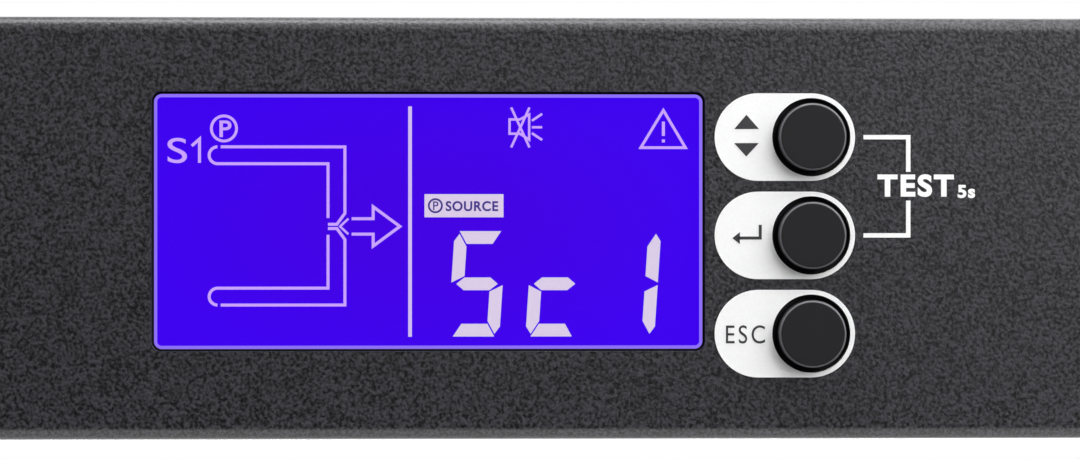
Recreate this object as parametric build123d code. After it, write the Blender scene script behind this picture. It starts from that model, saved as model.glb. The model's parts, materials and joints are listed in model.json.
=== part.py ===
from build123d import *
import os

# Rack static transfer switch, one rack unit high. All sizes are in millimetres.
# +X is to the right seen from the front, the front faces -Y and +Z is up.
# The underside is at z = 0, and the whole unit is centred on x = 0, y = 0.

# Sheet-metal case
case_height = 43.6
case_depth = 240.0
sheet = 1.2
bend = 1.5
seam = 0.2
panel_flange = 14.0
joggle_run = 2.0
joggle_bend = 0.2
joggle_clear = 0.4
lip = 10.0
vent_count = 12
vent_pitch = 8.0
vent_width = 3.0
vent_height = 18.0
over = 1.0

# Rack ears, with the hole pattern of a 19 inch rack
rack_width = 482.6
rack_hole_inset = 8.75
rack_hole_pitch = 31.75
rack_slot_length = 10.0
rack_slot_width = 7.0
ear_sheet = 2.0
ear_bend = 2.5
ear_corner = 2.0
ear_reach = 21.3
ear_depth = 46.0

# Screw between the thyristor modules
clamp_screw_radius = 2.0
clamp_screw_across = 7.0
clamp_screw_cap = 2.8
clamp_screw_grip = 4.0
screw_gap = 0.1

# Display window
window_width = 56.6
window_height = 26.3
window_corner = 0.8
window_gap = 0.25
window_sink = 0.3
window_edge = 0.35
window_left = 11.47
window_rise = 0.67
lens_rim = 1.8
lens_flange = 1.0

# Liquid crystal display behind the window
glass_rim = 1.5
glass_thick = 2.2
backlight_thick = 3.5
bezel_sheet = 0.4
bezel_gap = 0.1
bezel_view = 0.7
print_thick = 0.1

# Segments and flow diagram of the display, from the window's top left corner
digit_width = 5.34
digit_height = 10.94
digit_stroke = 1.32
digit_gap = 0.14
digit_corner = 0.52
digit_cut = 1.04
digit_lean = 0.066
digit_pitch = 8.06
digit_left = 30.63
digit_middle = 19.61
line_width = 0.3
divider_left = 26.16
divider_width = 0.38
divider_inset = 1.2
pipe_left = 6.4
pipe_break = 0.35
pipe_right = 19.6
pipe_gap = 1.75
pipe_top = 5.4
pipe_bottom = 21.8
pipe_round = 0.85
pipe_parting = 0.22
notch_run = 0.83
notch_rise = 1.14
flow_height = 13.65
arrow_gap = 0.7
arrow_half = 0.8
arrow_shaft = 2.23
arrow_head = 2.77
arrow_barb = 1.24
fork_width = 0.22
fork_gap = 0.35
fork_run = 0.85
source_left = 27.85
source_top = 10.3
source_width = 8.2
source_height = 2.4

# Buttons
window_to_button = 11.24
button_drop = 0.76
button_pitch = 10.16
button_hole = 4.05
cap_radius = 3.5
cap_proud = 1.8
cap_edge = 0.2
cap_flange_side = 9.4
cap_flange = 0.8
cap_clear = 0.3
button_travel = 0.8
stem_radius = 1.75
stem_gap = 0.1
switch_side = 6.2
switch_height = 3.6
switch_floor = 0.6

# Printed fields beside the buttons
field_height = 9.05
field_reach = 5.5
bracket_width = 0.46
bracket_start = 5.4
bracket_reach = 10.05
bracket_break_top = 5.82
bracket_break_bottom = 2.85

# Circuit boards
board_thick = 1.6
display_board_left = 38.5
display_board_right = 11.5
display_board_height = 33.0
display_support_rise = 11.0
support_width = 6.0
support_wall = 2.5
support_grip = 1.5
board_lift = 6.0
power_board_width = 251.0
power_board_side = 15.0
power_board_front = 34.0
power_board_rear = 48.0
power_tongue_width = 22.0
power_tongue_rear = 13.0
power_support_inset = 14.0
buzzer_radius = 6.0
buzzer_height = 6.5
buzzer_right = 20.0

# Thyristor stage
sink_side = 12.0
sink_to_board = 10.0
sink_front = 46.0
sink_rear = 44.0
sink_base = 6.0
sink_fin_height = 26.0
sink_fin_thick = 1.8
sink_fin_angle = 89.2
sink_fin_pitch = 8.0
sink_land = 46.0
module_length = 38.2
module_width = 25.4
module_foot = 4.0
module_foot_length = 5.0
module_height = 12.0
module_pitch = 62.0
module_post = 8.0
module_post_rise = 2.0
clamp_sheet = 2.0
clamp_width = 8.5
clamp_reach = 7.0

# Parts on the power board
relay_size = (30.0, 40.0, 25.0)
relay_edge = 1.0
transformer_size = (34.0, 28.0, 24.0)
transformer_edge = 2.0
capacitor_size = (13.0, 31.5, 22.0)
capacitor_edge = 1.5
part_row_gap = 8.0
sensor_size = (30.0, 24.0, 16.0)
sensor_window = (14.0, 11.0)
terminal_ways = 6
terminal_pitch = 10.0
terminal_depth = 16.0
terminal_height = 17.0
terminal_well = 3.2

# Flat cable between the boards
ribbon_thick = 0.9
ribbon_width = 22.0
ribbon_bend = 2.0
socket_depth = 6.0
socket_height = 5.0
socket_width = 26.0
ribbon_left = 10.0

# Power connectors on the rear wall
connector_flange = 2.0
connector_gap = 0.2
inlet_side = 33.0
inlet_pitch = 34.0
inlet_width = 24.4
inlet_height = 32.4
inlet_wall = 1.6
inlet_well = 20.0
inlet_floor = 4.0
inlet_rim = 3.0
blade_thick = 2.0
blade_width = 8.0
blade_span = 13.0
blade_offset = 4.0
blade_sunk = 3.5
blade_tail = 9.0
port_to_strip = 22.1
strip_gap = 6.0
strip_side = 20.0
strip_pitch = 25.4
strip_rim = 1.2
strip_body_depth = 28.0
outlet_core = (15.8, 23.8)
outlet_cut = 4.2
outlet_moat = 2.1
outlet_moat_depth = 13.0
outlet_slot = (4.6, 2.6)
outlet_slot_depth = 12.0
outlet_slot_span = 14.0
outlet_slot_offset = 2.6
breaker_to_heavy = 25.0
heavy_core = (21.2, 29.2)
heavy_slot = (2.8, 8.8)

# Circuit breakers with reset buttons
inlet_to_breaker = 26.0
breaker_pitch = 19.0
breaker_body = (14.0, 26.0, 33.0)
breaker_neck_radius = 5.0
breaker_neck = 6.0
breaker_nut_across = 14.0
breaker_nut_thick = 2.2
reset_radius = 3.0
reset_gap = 0.08
reset_proud = 1.2
reset_travel = 5.0
reset_guide = 4.0

# Service port and earth stud
heavy_to_port = 28.0
port_size = (15.8, 18.0, 13.2)
port_proud = 0.6
port_cavity = (11.8, 12.0, 8.2)
port_floor = 2.4
stud_side = 9.5
stud_z = 13.0
stud_radius = 2.5
stud_length = 10.0
stud_collar = 4.0
stud_across = 8.0
stud_shank_radius = 2.0
nut_across = 7.0
nut_thick = 3.2

# Sizes and places that the ones above lead to
case_width = rack_width - 2 * ear_reach
rack_hole_span = rack_width - 2 * rack_hole_inset
stud_reach = stud_collar + stud_length
front_y = (cap_proud - stud_reach - case_depth) / 2
rear_y = front_y + case_depth
panel_back = front_y + sheet
tray_y = front_y + panel_flange + seam + joggle_run
middle_z = case_height / 2
rear_inside = rear_y - sheet

window_x = -window_left
window_z = middle_z + window_rise
window_top = window_z + window_height / 2
window_start = window_x - window_width / 2
button_right = window_x + window_width / 2 + window_to_button

lens_back = panel_back + lens_flange
glass_y = lens_back + bezel_sheet
glass_back = glass_y + glass_thick
board_y = glass_back + backlight_thick
board_back = board_y + board_thick

button_middle = middle_z - button_drop
button_heights = {
    "up_down": button_middle + button_pitch,
    "enter": button_middle,
    "escape": button_middle - button_pitch,
}
cap_flange_y = panel_back + cap_clear
cap_back = cap_flange_y + cap_flange
switch_y = board_y - switch_height

power_board_bottom = sheet + board_lift
power_board_top = power_board_bottom + board_thick
power_board_right = case_width / 2 - power_board_side
power_board_left = power_board_right - power_board_width
sink_left = sink_side - case_width / 2
sink_width = power_board_left - sink_to_board - sink_left
sink_length = case_depth - sink_front - sink_rear
sink_top = sheet + sink_base
reset_depth = reset_travel + reset_guide
module_x = sink_left + sink_width - sink_land / 2
module_y = front_y + sink_front + sink_length / 2
clamp_z = sink_top + module_height - module_post_rise

stud_x = case_width / 2 - stud_side
inlet_first = case_width / 2 - inlet_side
breaker_first = inlet_first - inlet_pitch - inlet_to_breaker
heavy_centre = breaker_first - breaker_pitch - breaker_to_heavy
port_centre = heavy_centre - heavy_to_port
strips_right = port_centre - port_to_strip
strips_room = strips_right + case_width / 2 - strip_side - strip_gap
strip_outlets = int(strips_room / strip_pitch / 2)

HANGING = (Align.CENTER, Align.CENTER, Align.MAX)


def slab(sketch, near, far):
    """Solid from an outline seen from the front, between two depths."""
    return extrude(Plane.XZ.offset(-far) * sketch, far - near)


def layer(sketch, low, high):
    """Solid from an outline seen from above, between two heights."""
    return extrude(Plane.XY.offset(low) * sketch, high - low)


def block(x, y, z):
    """Box between a pair of limits along each axis."""
    limits = (x, y, z)
    middle = [(low + high) / 2 for low, high in limits]
    return Pos(*middle) * Box(*[high - low for low, high in limits])


def around(centre, size):
    """Pair of limits that lie the same way either side of a centre."""
    return (centre - size / 2, centre + size / 2)


def folded(points, thickness, radius, side):
    """Section of a folded sheet, whose one face follows the points."""
    line = FilletPolyline(*points, radius=radius)
    return make_face(offset(line, thickness, side=side))


def hexagon(across):
    """Hexagon of a nut or a screw head, by its width across flats."""
    return RegularPolygon(across / 2, 6, major_radius=False)


def window_outline(margin):
    """Outline of the display window, larger by a margin on each side."""
    width = window_width + 2 * margin
    height = window_height + 2 * margin
    return Pos(window_x, window_z) * RectangleRounded(width, height, window_corner + margin)


def front_panel():
    """Folded channel with the window and the button holes."""
    flange_end = front_y + panel_flange
    points = [(flange_end, 0), (front_y, 0), (front_y, case_height), (flange_end, case_height)]
    section = folded(points, sheet, bend, Side.RIGHT)
    panel = extrude(Plane.YZ * section, case_width / 2, both=True)
    panel -= slab(window_outline(window_gap), front_y - over, panel_back + over)
    for z in button_heights.values():
        panel -= slab(Pos(button_right, z) * Circle(button_hole), front_y - over, panel_back + over)
    return panel


def joggled(height, direction):
    """Strip that steps in by one sheet to pass under the panel's flange."""
    step = direction * sheet
    inner_y = front_y + 2 * bend
    low_y = tray_y - joggle_run
    high_y = tray_y - joggle_clear
    points = [(inner_y, height + step), (low_y, height + step), (high_y, height)]
    points.append((tray_y + 2 * joggle_run, height))
    side = Side.LEFT if direction > 0 else Side.RIGHT
    section = folded(points, sheet, joggle_bend, side)
    half = case_width / 2 - 2 * sheet
    return extrude(Plane.YZ * section, half, both=True)


def rear_openings():
    """Everything that is punched through the rear wall."""
    near = rear_inside - over
    far = rear_y + over
    extra = 2 * connector_gap
    cuts = []
    for x in inlet_centres():
        hole = Rectangle(inlet_width + extra, inlet_height + extra)
        cuts.append(slab(Pos(x, middle_z) * hole, near, far))
    for x in strip_centres():
        hole = Rectangle(strip_body_width() + extra, outlet_body_height(outlet_core) + extra)
        cuts.append(slab(Pos(x, middle_z) * hole, near, far))
    hole = Rectangle(heavy_core[0] + wall_and_moat() + extra, outlet_body_height(heavy_core) + extra)
    cuts.append(slab(Pos(heavy_centre, middle_z) * hole, near, far))
    for x in breaker_centres():
        cuts.append(slab(Pos(x, middle_z) * Circle(breaker_neck_radius + connector_gap), near, far))
    port_z = power_board_top + port_size[2] / 2
    port_hole = Rectangle(port_size[0] + extra, port_size[2] + extra)
    cuts.append(slab(Pos(port_centre, port_z) * port_hole, near, far))
    cuts.append(slab(Pos(stud_x, stud_z) * Circle(stud_shank_radius + screw_gap), near, far))
    return cuts


def chassis_base():
    """Tray folded from one sheet: floor, side walls with top lips and rear wall."""
    half = case_width / 2
    top = case_height - sheet
    points = [(lip - half, top), (-half, top), (-half, 0), (half, 0), (half, top), (half - lip, top)]
    tray = slab(folded(points, sheet, bend, Side.LEFT), tray_y, rear_y)
    inner_half = half - sheet - seam
    corner = rear_y - bend
    tray -= block((-inner_half - seam, inner_half + seam), (corner, rear_y + over), (-over, case_height))
    rear_points = [(corner - lip, 0), (rear_y, 0), (rear_y, top), (rear_y - lip, top)]
    rear_section = folded(rear_points, sheet, bend, Side.LEFT)
    tray += extrude(Plane.YZ * rear_section, inner_half - lip, both=True)
    side_rise = (2 * sheet + seam, case_height - 2 * sheet - seam)
    for side in (-1, 1):
        wall_x = sorted((side * half, side * (half - sheet)))
        tray += block(wall_x, (panel_back + seam, tray_y), side_rise)
        edge_x = sorted((side * (inner_half - lip), side * inner_half))
        tray += block(edge_x, (rear_inside, rear_y), (bend + seam, top))
    tray += joggled(0, 1)
    first_y = (tray_y + rear_y - (vent_count - 1) * vent_pitch) / 2
    for index in range(vent_count):
        y_limits = around(first_y + index * vent_pitch, vent_width)
        z_limits = around(middle_z, vent_height)
        tray -= block((-half - over, half + over), y_limits, z_limits)
    for cut in rear_openings():
        tray -= cut
    return tray


def top_cover():
    """Flat lid that rests on the tray's lips and steps in under the panel."""
    lid = block(around(0, case_width), (tray_y, rear_y), (case_height - sheet, case_height))
    return lid + joggled(case_height, -1)


def rack_ear():
    """Right-hand angle bracket with two rack slots."""
    corner = case_width / 2
    points = [(rack_width / 2, front_y), (corner, front_y), (corner, front_y + ear_depth)]
    ear = layer(folded(points, ear_sheet, ear_bend, Side.RIGHT), 0, case_height)
    outer_edges = ear.edges().filter_by(Axis.Y).group_by(Axis.X)[-1]
    ear = chamfer(outer_edges, ear_corner)
    for rise in (-rack_hole_pitch / 2, rack_hole_pitch / 2):
        slot = Pos(rack_hole_span / 2, middle_z + rise) * SlotOverall(rack_slot_length, rack_slot_width)
        ear -= slab(slot, front_y - over, front_y + ear_sheet + over)
    return ear


def display_window():
    """Clear window that fills the panel's opening, with a flange behind it."""
    front = front_y + window_sink
    lens = slab(window_outline(0), front, panel_back)
    rim = lens.faces().sort_by(Axis.Y)[0].edges()
    lens = chamfer(rim, window_edge)
    flange = Rectangle(window_width + 2 * lens_rim, window_height + 2 * lens_rim)
    return lens + slab(Pos(window_x, window_z) * flange, panel_back, lens_back)


def lcd_glass():
    """Display glass behind the window."""
    outline = Rectangle(window_width + 2 * glass_rim, window_height + 2 * glass_rim)
    return slab(Pos(window_x, window_z) * outline, glass_y, glass_back)


def lcd_backlight():
    """Light guide behind the display glass."""
    outline = Rectangle(window_width + 2 * glass_rim, window_height + 2 * glass_rim)
    return slab(Pos(window_x, window_z) * outline, glass_back, board_y)


def lcd_bezel():
    """Thin metal frame that clamps glass and backlight to the board."""
    pocket = glass_rim + bezel_gap
    outer = pocket + bezel_sheet
    shell = Rectangle(window_width + 2 * outer, window_height + 2 * outer)
    inside = Rectangle(window_width + 2 * pocket, window_height + 2 * pocket)
    view = Rectangle(window_width + 2 * bezel_view, window_height + 2 * bezel_view)
    place = Pos(window_x, window_z)
    frame = slab(place * shell, lens_back, board_y)
    frame -= slab(place * inside, glass_y, board_y + over)
    return frame - slab(place * view, lens_back - over, glass_y + over)


def on_window(x, y):
    """Place on the display, measured right and down from the window's corner."""
    return (window_start + x, window_top - y)


def digit_bars():
    """Outlines of a character's seven bars, measured from its middle."""
    side = digit_width / 2
    half = digit_height / 2
    inner = side - digit_stroke
    corner = side - digit_corner
    top = [(-corner, half), (corner, half), (inner, half - digit_stroke), (-inner, half - digit_stroke)]
    wing = digit_stroke / 2
    middle = [(-corner, 0), (-inner, wing), (inner, wing), (corner, 0), (inner, -wing), (-inner, -wing)]
    upright = [(side, digit_gap), (side, half - digit_cut), (corner, half - 2 * digit_gap)]
    upright += [(inner, half - digit_stroke - 2 * digit_gap), (inner, wing + digit_gap)]
    return {
        "a": top,
        "b": upright,
        "c": [(x, -y) for x, y in upright],
        "d": [(x, -y) for x, y in top],
        "e": [(-x, -y) for x, y in upright],
        "f": [(-x, y) for x, y in upright],
        "g": middle,
    }


def digit(index, lit):
    """Leaning seven-segment character, with only its lit bars."""
    x, z = on_window(digit_left + digit_width / 2 + index * digit_pitch, digit_middle)
    bars = digit_bars()
    shown = Sketch()
    for name in lit:
        outline = [(across + digit_lean * up, up) for across, up in bars[name]]
        shown += Pos(x, z) * make_face(Polyline(*outline, close=True))
    return shown


def pipe(first_y):
    """Open pipe of the flow diagram, as a thin outline that ends at the arrow's tail."""
    side = 1 if flow_height > first_y else -1
    far_y = first_y + side * pipe_gap
    end_y = flow_height - side * pipe_parting
    inner_x = pipe_right - pipe_gap
    outer = [(pipe_left + pipe_break, first_y), (pipe_right, first_y)]
    outer.append((pipe_right, end_y - side * notch_rise))
    outer += [(pipe_right - notch_run, end_y), (inner_x, end_y)]
    inner = [(pipe_left, far_y), (inner_x, far_y), (inner_x, flow_height - side * pipe_gap / 2)]
    lines = [Polyline(*[on_window(*point) for point in outer])]
    lines.append(Polyline(*[on_window(*point) for point in inner]))
    start = on_window(pipe_left, first_y)
    bow = on_window(pipe_left - pipe_round, first_y + side * pipe_gap / 2)
    lines.append(ThreePointArc(start, bow, on_window(pipe_left, far_y)))
    return [trace(line, line_width) for line in lines]


def flow_arrow():
    """Arrow that points at the divider, and the fork between the pipes that leads into it."""
    tail = pipe_right + arrow_gap
    neck = tail + arrow_shaft
    upper = [(tail, arrow_half), (neck, arrow_half), (neck, arrow_half + arrow_barb)]
    head = upper + [(neck + arrow_head, 0)] + [(x, -y) for x, y in reversed(upper)]
    fork_end = tail - fork_gap
    fork = [(fork_end, arrow_half), (fork_end - fork_run, 0), (fork_end, -arrow_half)]
    lines = []
    for points, width in ((head, line_width), (fork, fork_width)):
        path = Polyline(*[on_window(x, flow_height + y) for x, y in points])
        lines.append(trace(path, width))
    return lines


def lcd_segments():
    """Bars and lines that show on the display, as one thin print."""
    lit = [digit(0, "afgcd"), digit(1, "ged"), digit(2, "bc")]
    lit += pipe(pipe_top) + pipe(pipe_bottom) + flow_arrow()
    x, z = on_window(divider_left + divider_width / 2, window_height / 2)
    lit.append(Pos(x, z) * Rectangle(divider_width, window_height - 2 * divider_inset))
    x, z = on_window(source_left + source_width / 2, source_top + source_height / 2)
    lit.append(Pos(x, z) * Rectangle(source_width, source_height))
    return slab(Sketch() + lit, glass_y - print_thick, glass_y)


def legend_print():
    """White fields round the buttons and the bracket beside them, as print."""
    marks = []
    for z in button_heights.values():
        centre = Pos(button_right - field_reach / 2, z)
        field = centre * SlotCenterToCenter(field_reach, field_height)
        marks.append(field - Pos(button_right, z) * Circle(button_hole))
    top = button_heights["up_down"]
    low = button_heights["enter"]
    near = button_right + bracket_start
    far = button_right + bracket_reach
    upper = Polyline((near, top), (far, top), (far, middle_z + bracket_break_top))
    lower = Polyline((near, low), (far, low), (far, middle_z + bracket_break_bottom))
    marks += [trace(upper, bracket_width), trace(lower, bracket_width)]
    return slab(Sketch() + marks, front_y - print_thick, front_y)


def button_cap(z):
    """Round key cap that a square flange holds behind the panel."""
    place = Pos(button_right, z)
    cap = slab(place * Circle(cap_radius), front_y - cap_proud, cap_flange_y)
    cap = chamfer(cap.faces().sort_by(Axis.Y)[0].edges(), cap_edge)
    return cap + slab(place * Rectangle(cap_flange_side, cap_flange_side), cap_flange_y, cap_back)


def key_stem(z):
    """Plunger between the cap and the inside of its switch."""
    end = switch_y + switch_height - switch_floor - button_travel - stem_gap
    return slab(Pos(button_right, z) * Circle(stem_radius), cap_back, end)


def key_switch(z):
    """Body of one push switch, open in front for its plunger."""
    body = slab(Pos(button_right, z) * Rectangle(switch_side, switch_side), switch_y, board_y)
    well = Pos(button_right, z) * Circle(stem_radius + stem_gap)
    return body - slab(well, switch_y - over, board_y - switch_floor)


def display_board():
    """Board that carries the display, the switches and the buzzer."""
    return block(display_board_sides(), (board_y, board_back), around(middle_z, display_board_height))


def display_board_sides():
    """Left and right edge of the display board."""
    return (window_x - display_board_left, button_right + display_board_right)


def display_supports():
    """Posts behind the panel that grip both ends of the display board."""
    left, right = display_board_sides()
    left_post = (left - support_wall, left + support_grip)
    right_post = (right - support_grip, right + support_wall)
    posts = []
    for side in (-1, 1):
        for x_limits in (left_post, right_post):
            z_limits = around(middle_z + side * display_support_rise, support_width)
            posts.append(block(x_limits, (panel_back, board_back + support_grip), z_limits))
    board = display_board()
    return [post - board for post in posts]


def buzzer():
    """Round sounder on the back of the display board."""
    place = Pos(window_x + buzzer_right, middle_z)
    return slab(place * Circle(buzzer_radius), board_back, board_back + buzzer_height)


def power_board():
    """Main board, with a tongue that reaches the port on the rear wall."""
    front = front_y + power_board_front
    rear = rear_y - power_board_rear
    height = (power_board_bottom, power_board_top)
    board = block((power_board_left, power_board_right), (front, rear), height)
    tongue_y = (rear, rear_y - power_tongue_rear)
    return board + block(around(port_centre, power_tongue_width), tongue_y, height)


def power_supports():
    """Posts on the tray's floor that grip the left and right edge of the power board."""
    first_y = front_y + power_board_front + power_support_inset
    last_y = rear_y - power_board_rear - power_support_inset
    left = (power_board_left - support_wall, power_board_left + support_grip)
    right = (power_board_right - support_grip, power_board_right + support_wall)
    posts = []
    for x_limits in (left, right):
        for y in (first_y, last_y):
            posts.append(block(x_limits, around(y, support_width), (sheet, power_board_top + support_grip)))
    board = power_board()
    return [post - board for post in posts]


def heat_sink():
    """Extruded cooler: a base with tapered fins and a bare land for the modules."""
    section = Pos(sink_left + sink_width / 2, sheet + sink_base / 2) * Rectangle(sink_width, sink_base)
    fins_width = sink_width - sink_land - sink_fin_thick
    gaps = int(fins_width / sink_fin_pitch)
    for index in range(gaps + 1):
        x = sink_left + sink_fin_thick / 2 + index * fins_width / gaps
        fin = Trapezoid(sink_fin_thick, sink_fin_height, sink_fin_angle)
        section += Pos(x, sink_top + sink_fin_height / 2) * fin
    sink = slab(section, front_y + sink_front, front_y + sink_front + sink_length)
    bore = Cylinder(clamp_screw_radius, clamp_screw_grip, align=HANGING)
    return sink - Pos(module_x, module_y, sink_top) * bore


def module_centres():
    """Where the two thyristor modules stand on the cooler."""
    return [module_y + side * module_pitch / 2 for side in (-1, 1)]


def module_clamp():
    """Steel strip that presses both modules onto the cooler."""
    reach = module_pitch / 2 + clamp_reach
    thickness = (clamp_z, clamp_z + clamp_sheet)
    strip = block(around(module_x, clamp_width), around(module_y, 2 * reach), thickness)
    hole = Circle(clamp_screw_radius + screw_gap)
    return strip - layer(Pos(module_x, module_y) * hole, clamp_z - over, clamp_z + clamp_sheet + over)


def clamp_screw():
    """Hexagon screw between the modules that pulls the strip down."""
    head_z = clamp_z + clamp_sheet
    place = Pos(module_x, module_y)
    head = layer(place * hexagon(clamp_screw_across), head_z, head_z + clamp_screw_cap)
    return head + layer(place * Circle(clamp_screw_radius), sink_top - clamp_screw_grip, head_z)


def thyristor_module(y):
    """Power module with a low foot at each end and four terminal posts."""
    low = sink_top
    waist = module_length - 2 * module_foot_length
    place = Pos(module_x, y)
    module = layer(place * Rectangle(module_width, module_length), low, low + module_foot)
    module += layer(place * Rectangle(module_width, waist), low, clamp_z)
    post_x = (module_width - module_post) / 2
    post_y = (waist - module_post) / 2
    for side_x in (-1, 1):
        for side_y in (-1, 1):
            post = place * Pos(side_x * post_x, side_y * post_y) * Rectangle(module_post, module_post)
            module += layer(post, low, low + module_height)
    return module


def potted_box(x, y, size, edge):
    """Moulded case on the power board with its upright edges chamfered."""
    outline = chamfer(Rectangle(size[0], size[1]).vertices(), edge)
    return layer(Pos(x, y) * outline, power_board_top, power_board_top + size[2])


def board_row(index):
    """Middle of one of the columns that the parts on the power board stand in."""
    return power_board_right - 2 * part_row_gap - (index + 0.5) * (transformer_size[0] + part_row_gap)


def part_y(depth, size):
    """Middle of a part that starts so far behind the power board's front edge."""
    return front_y + power_board_front + depth + size[1] / 2


def current_sensor():
    """Current sensor that lies on the power board, with a window for the load lead."""
    x = board_row(3)
    y = part_y(3 * part_row_gap + transformer_size[1], sensor_size)
    frame = Rectangle(*sensor_size[:2]) - Rectangle(*sensor_window)
    return layer(Pos(x, y) * frame, power_board_top, power_board_top + sensor_size[2])


def terminal_block():
    """Row of screw terminals where the supply leads end."""
    x = board_row(0.5)
    y = rear_y - power_board_rear - terminal_depth / 2
    length = terminal_ways * terminal_pitch
    low = power_board_top
    step = terminal_depth / 3
    points = [(-terminal_depth / 2, 0), (terminal_depth / 2, 0), (terminal_depth / 2, terminal_height / 2)]
    points += [(step / 2, terminal_height / 2), (step / 2, terminal_height)]
    points.append((-terminal_depth / 2, terminal_height))
    section = make_face(Polyline(*points, close=True))
    body = Pos(x, y, low) * extrude(Plane.YZ * section, length / 2, both=True)
    for index in range(terminal_ways):
        way_x = x + (index - (terminal_ways - 1) / 2) * terminal_pitch
        top = low + terminal_height
        well_x = around(way_x, 2 * terminal_well)
        well_y = around(y - step / 2, 2 * terminal_well)
        body -= block(well_x, well_y, (top - terminal_well, top + over))
    return body


def display_ribbon():
    """Flat cable with a socket at each end, from the display to the power board."""
    x = window_x - ribbon_left
    top_z = middle_z
    first_y = board_back + socket_depth
    last_y = front_y + power_board_front + socket_height
    low_z = power_board_top + socket_height
    points = [(first_y - ribbon_thick, top_z), (last_y, top_z), (last_y, low_z - ribbon_thick)]
    section = trace(FilletPolyline(*points, radius=ribbon_bend), ribbon_thick)
    ribbon = Pos(x, 0, 0) * extrude(Plane.YZ * section, ribbon_width / 2, both=True)
    width = around(x, socket_width)
    ribbon += block(width, (board_back, first_y), around(top_z, socket_height))
    ribbon += block(width, around(last_y, socket_depth), (power_board_top, low_z))
    return ribbon


def inlet_centres():
    """Where the two power inlets sit on the rear wall."""
    return [inlet_first - index * inlet_pitch for index in (0, 1)]


def blades(x):
    """Outlines of the three flat contacts of one inlet."""
    flat = Rectangle(blade_thick, blade_width)
    outlines = [Pos(x - blade_offset, middle_z + side * blade_span / 2) * flat for side in (-1, 1)]
    outlines.append(Pos(x + blade_offset, middle_z) * flat)
    return outlines


def power_inlet(x):
    """Moulded inlet with a deep well and a flange outside the rear wall."""
    place = Pos(x, middle_z)
    face_y = rear_y + connector_flange
    floor_y = face_y - inlet_well
    body = slab(place * Rectangle(inlet_width, inlet_height), floor_y - inlet_floor, rear_y)
    rim = RectangleRounded(inlet_width + 2 * inlet_rim, inlet_height + 2 * inlet_rim, inlet_rim)
    body += slab(place * rim, rear_y, face_y)
    well = Rectangle(inlet_width - 2 * inlet_wall, inlet_height - 2 * inlet_wall)
    body -= slab(place * well, floor_y, face_y + over)
    for outline in blades(x):
        body -= slab(outline, floor_y - inlet_floor - over, floor_y + over)
    return body


def inlet_blades():
    """Flat contacts of both inlets, with their tails behind."""
    face_y = rear_y + connector_flange
    start = face_y - inlet_well - inlet_floor - blade_tail
    solids = []
    for x in inlet_centres():
        for outline in blades(x):
            solids.append(slab(outline, start, face_y - blade_sunk))
    return solids


def wall_and_moat():
    """How much wider an outlet's body is than its core."""
    return 2 * (outlet_moat + inlet_wall)


def outlet_body_height(core):
    """Height of an outlet's body behind the rear wall."""
    return core[1] + wall_and_moat()


def strip_body_width():
    """Width of a row of outlets behind the rear wall."""
    return (strip_outlets - 1) * strip_pitch + outlet_core[0] + wall_and_moat()


def plug_outline(core, margin, cut):
    """Outline of an outlet's core, with two corners cut off on the earth side."""
    outline = Rectangle(core[0] + 2 * margin, core[1] + 2 * margin)
    if cut > 0:
        outline = chamfer(outline.vertices().group_by(Axis.X)[-1], cut)
    return outline


def cut_outlet(body, x, core, slot, cut):
    """Takes the moat and the three contact slots of one outlet out of a body."""
    place = Pos(x, middle_z)
    face_y = rear_y + connector_flange
    moat = plug_outline(core, outlet_moat, cut) - plug_outline(core, 0, cut)
    body -= slab(place * moat, face_y - outlet_moat_depth, face_y + over)
    spots = [(-outlet_slot_offset, -outlet_slot_span / 2), (-outlet_slot_offset, outlet_slot_span / 2)]
    spots.append((outlet_slot_offset, 0))
    for spot in spots:
        hole = place * Pos(*spot) * Rectangle(*slot)
        body -= slab(hole, face_y - outlet_slot_depth, face_y + over)
    return body


def outlet_body(x, core, count):
    """Flange and body of a row of outlets, still without their slots."""
    width = (count - 1) * strip_pitch + core[0] + wall_and_moat()
    height = outlet_body_height(core)
    place = Pos(x, middle_z)
    body = slab(place * Rectangle(width, height), rear_y - strip_body_depth, rear_y)
    rim = Rectangle(width + 2 * strip_rim, height + 2 * strip_rim)
    return body + slab(place * rim, rear_y, rear_y + connector_flange)


def outlet_strip(centre):
    """Row of four outlets moulded as one piece."""
    strip = outlet_body(centre, outlet_core, strip_outlets)
    for index in range(strip_outlets):
        x = centre + (index - (strip_outlets - 1) / 2) * strip_pitch
        strip = cut_outlet(strip, x, outlet_core, outlet_slot, outlet_cut)
    return strip


def heavy_outlet():
    """Larger outlet with flat slots that lie along its long side."""
    body = outlet_body(heavy_centre, heavy_core, 1)
    return cut_outlet(body, heavy_centre, heavy_core, heavy_slot, 0)


def strip_centres():
    """Where the two rows of outlets sit on the rear wall."""
    width = strip_body_width() + 2 * strip_rim
    first = strips_right - width / 2
    return [first, first - width - strip_gap]


def breaker_centres():
    """Where the two circuit breakers sit on the rear wall."""
    return [breaker_first - index * breaker_pitch for index in (0, 1)]


def breaker(x):
    """Breaker body with a threaded neck and the bore of its reset button."""
    width, depth, height = breaker_body
    body = block(around(x, width), (rear_inside - depth, rear_inside), around(middle_z, height))
    body += slab(Pos(x, middle_z) * Circle(breaker_neck_radius), rear_inside, rear_y + breaker_neck)
    bore = Pos(x, middle_z) * Circle(reset_radius + reset_gap)
    return body - slab(bore, rear_y - reset_depth, rear_y + breaker_neck + over)


def breaker_nuts():
    """Ring nuts that hold the breakers to the rear wall."""
    ring = hexagon(breaker_nut_across) - Circle(breaker_neck_radius)
    return [slab(Pos(x, middle_z) * ring, rear_y, rear_y + breaker_nut_thick) for x in breaker_centres()]


def reset_button(x):
    """Reset button of one breaker, pushed in."""
    end = rear_y + breaker_neck + reset_proud
    return slab(Pos(x, middle_z) * Circle(reset_radius), rear_y - reset_depth + cap_clear, end)


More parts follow.
